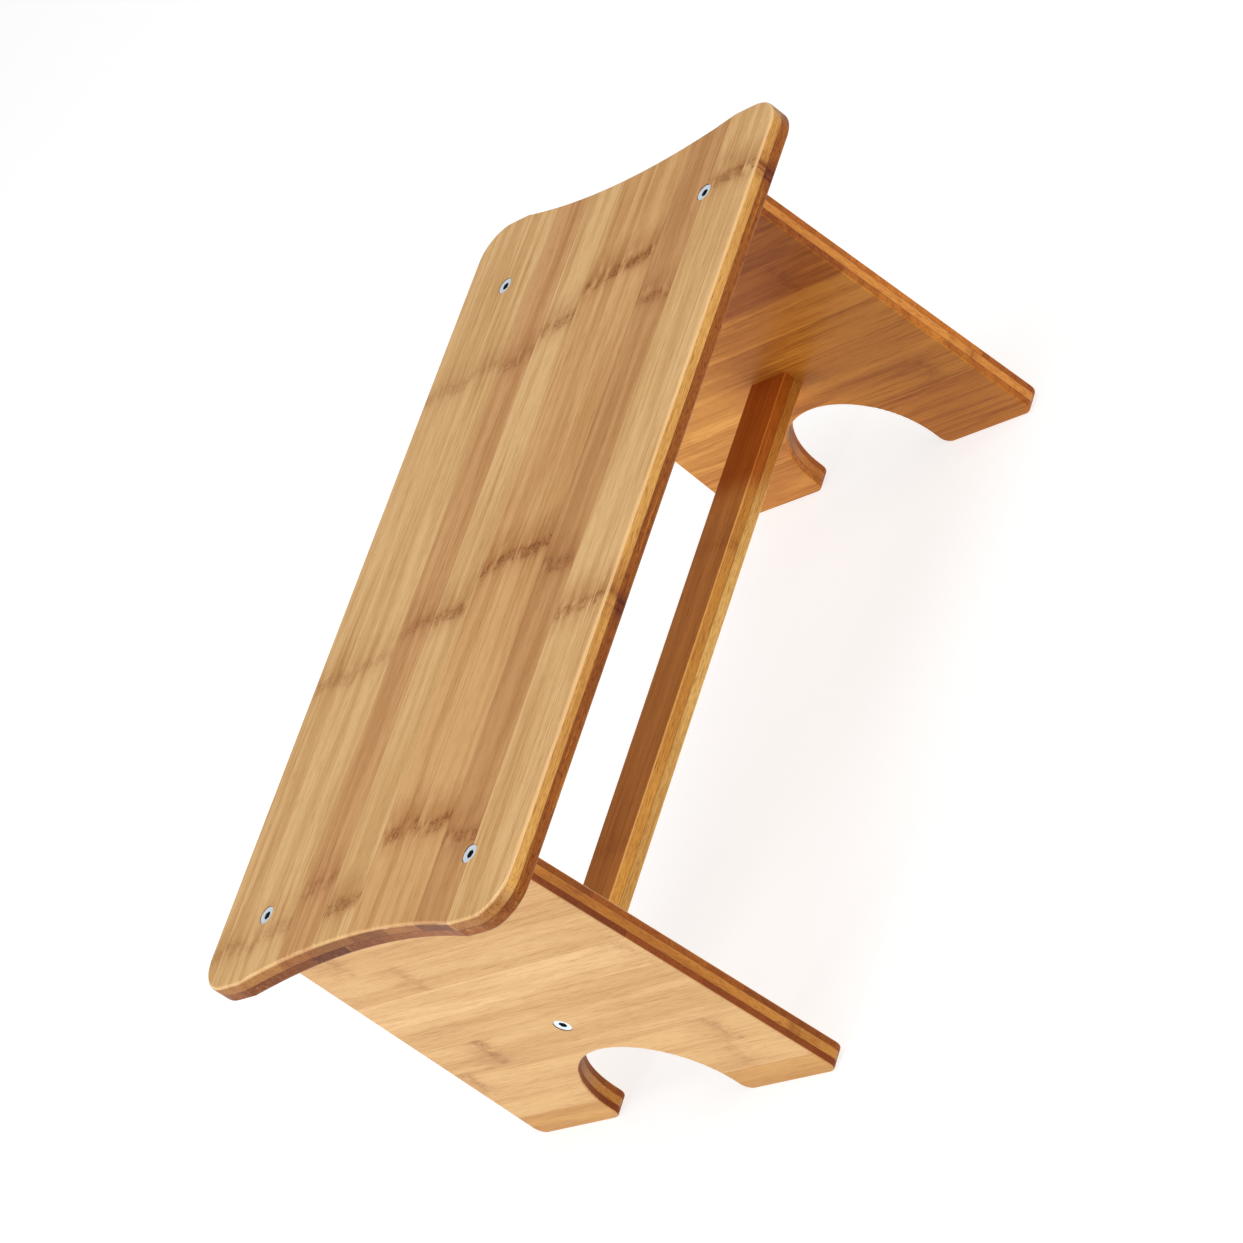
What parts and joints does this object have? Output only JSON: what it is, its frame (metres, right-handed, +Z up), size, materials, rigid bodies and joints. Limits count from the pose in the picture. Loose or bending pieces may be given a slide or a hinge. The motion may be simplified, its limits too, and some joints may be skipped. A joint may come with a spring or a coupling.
{
  "type": "foot stool",
  "caption": "Flat-topped bamboo foot stool: scooped-end laminated deck on tapered end panels with arched feet, tied by a flat stretcher bar and screwed together.",
  "frame": {"origin": "on the floor, under the middle of the deck", "axes": "+Z up out of the deck, +X along the deck's length, +Y across it"},
  "size_m": [0.39, 0.2, 0.173],
  "materials": {
    "deck_upper_bamboo": "satin lacquer on carbonised flat-cut bamboo strips",
    "deck_lower_bamboo": "satin lacquer, darker strips",
    "panel_face_bamboo": "satin lacquer on horizontal strips",
    "panel_core_bamboo": "satin lacquer, core strips seen on the board edges",
    "stretcher_upper_bamboo": "satin lacquer",
    "stretcher_lower_bamboo": "satin lacquer",
    "dowel_wood": "plain turned dowel",
    "screw_steel": "bright zinc-plated steel"
  },
  "bodies": {
    "root": {"deck_lower_ply": "deck_lower_bamboo", "deck_screw_left_front": "screw_steel", "deck_screw_left_rear": "screw_steel", "deck_screw_right_front": "screw_steel", "deck_screw_right_rear": "screw_steel", "deck_upper_ply": "deck_upper_bamboo", "left_end_panel_core_ply": "panel_core_bamboo", "left_end_panel_inner_ply": "panel_face_bamboo", "left_end_panel_outer_ply": "panel_face_bamboo", "right_end_panel_core_ply": "panel_core_bamboo", "right_end_panel_inner_ply": "panel_face_bamboo", "right_end_panel_outer_ply": "panel_face_bamboo", "stretcher_dowel_left": "dowel_wood", "stretcher_dowel_right": "dowel_wood", "stretcher_lower_ply": "stretcher_lower_bamboo", "stretcher_screw_left": "screw_steel", "stretcher_screw_right": "screw_steel", "stretcher_upper_ply": "stretcher_upper_bamboo"}
  },
  "joints": []
}
